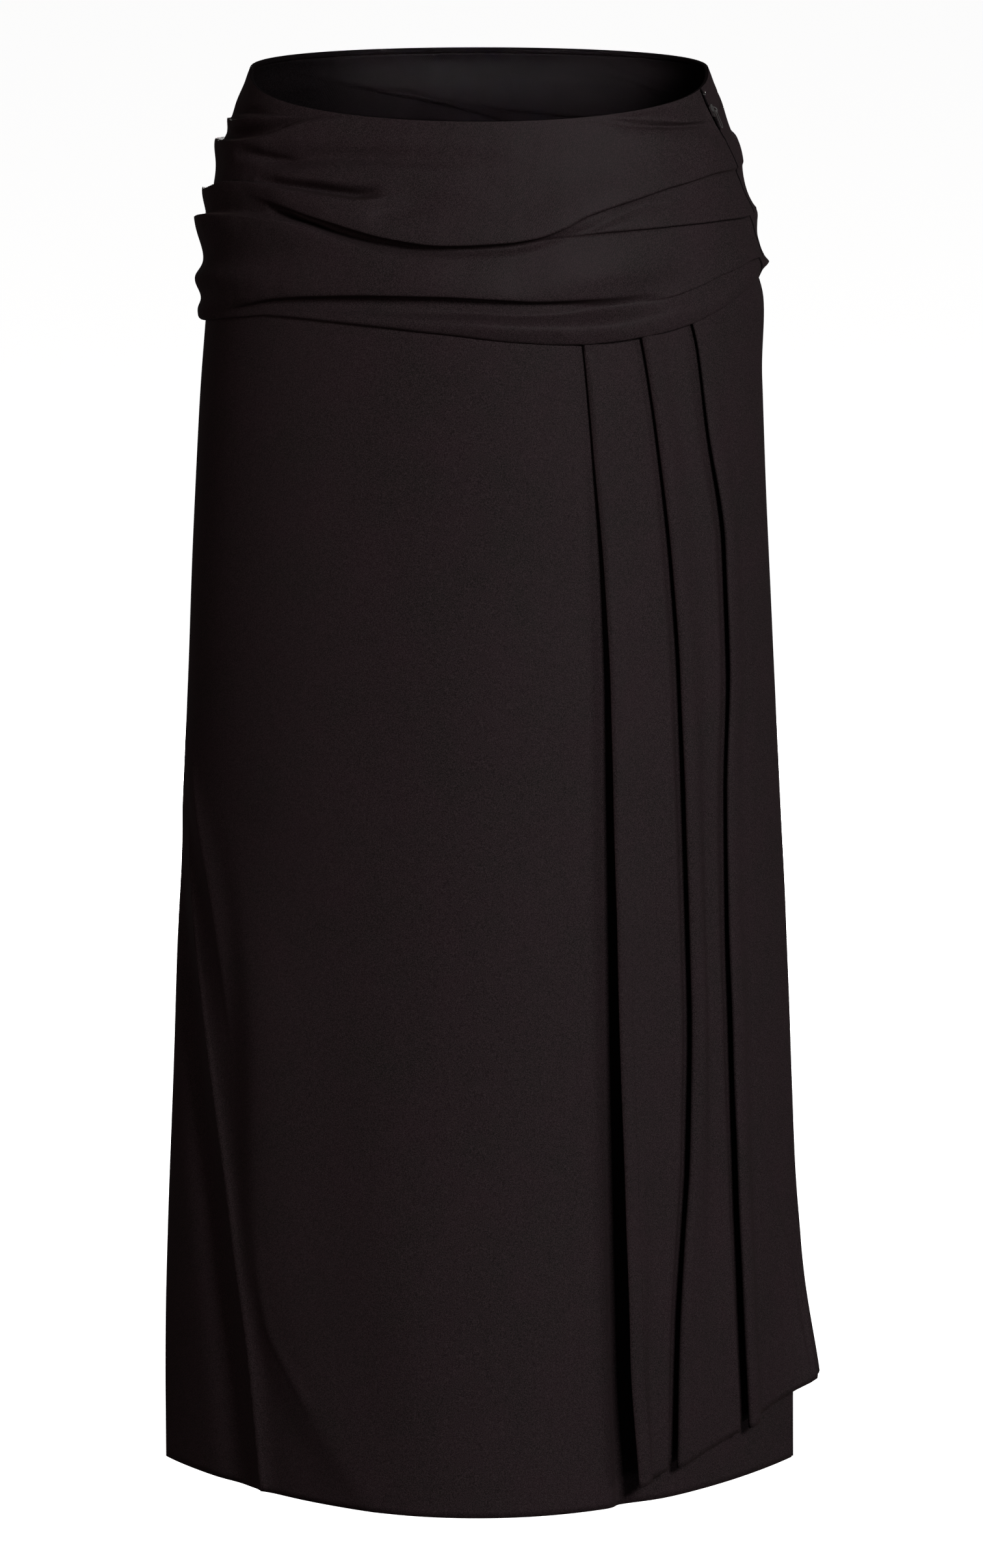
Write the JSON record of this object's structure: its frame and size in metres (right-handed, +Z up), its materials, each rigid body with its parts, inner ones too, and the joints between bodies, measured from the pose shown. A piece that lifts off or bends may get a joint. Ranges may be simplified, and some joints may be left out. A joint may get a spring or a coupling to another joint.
{
  "type": "draped midi skirt with a pleated side panel",
  "caption": "Straight midi skirt with a draped hip wrap gathered at the sides, a knife-pleated panel hanging over the left side, and a concealed side zip.",
  "frame": {"origin": "middle of the waist opening, level with the waist edge at the sides, where the wearer holds the skirt up", "axes": "+Z up out of the waist, -Y towards the front, +X towards the wearer's left, where the zip is"},
  "size_m": [0.3923, 0.2579, 0.8371],
  "materials": {
    "satin_crepe": "black satin-backed crepe with a fine grain and a soft sheen",
    "zip_tape": "matt black woven tape",
    "zip_metal": "bright silver metal"
  },
  "bodies": {
    "skirt": {"front_panel": "satin_crepe", "back_panel": "satin_crepe", "front_wrap": "satin_crepe", "back_wrap": "satin_crepe", "side_drape": "satin_crepe", "zip_tape": "zip_tape", "zip_slider": "zip_metal", "waist_hook": "zip_metal"},
    "pull": {"zip_pull": "zip_metal"}
  },
  "joints": [
    {"name": "pull_swing", "type": "hinge", "parent": "skirt", "child": "pull", "pos_m": [0.13622, -0.03571, -0.01925], "axis": [-0.3064, -0.9113, -0.275], "range_deg": [0, 150]}
  ]
}
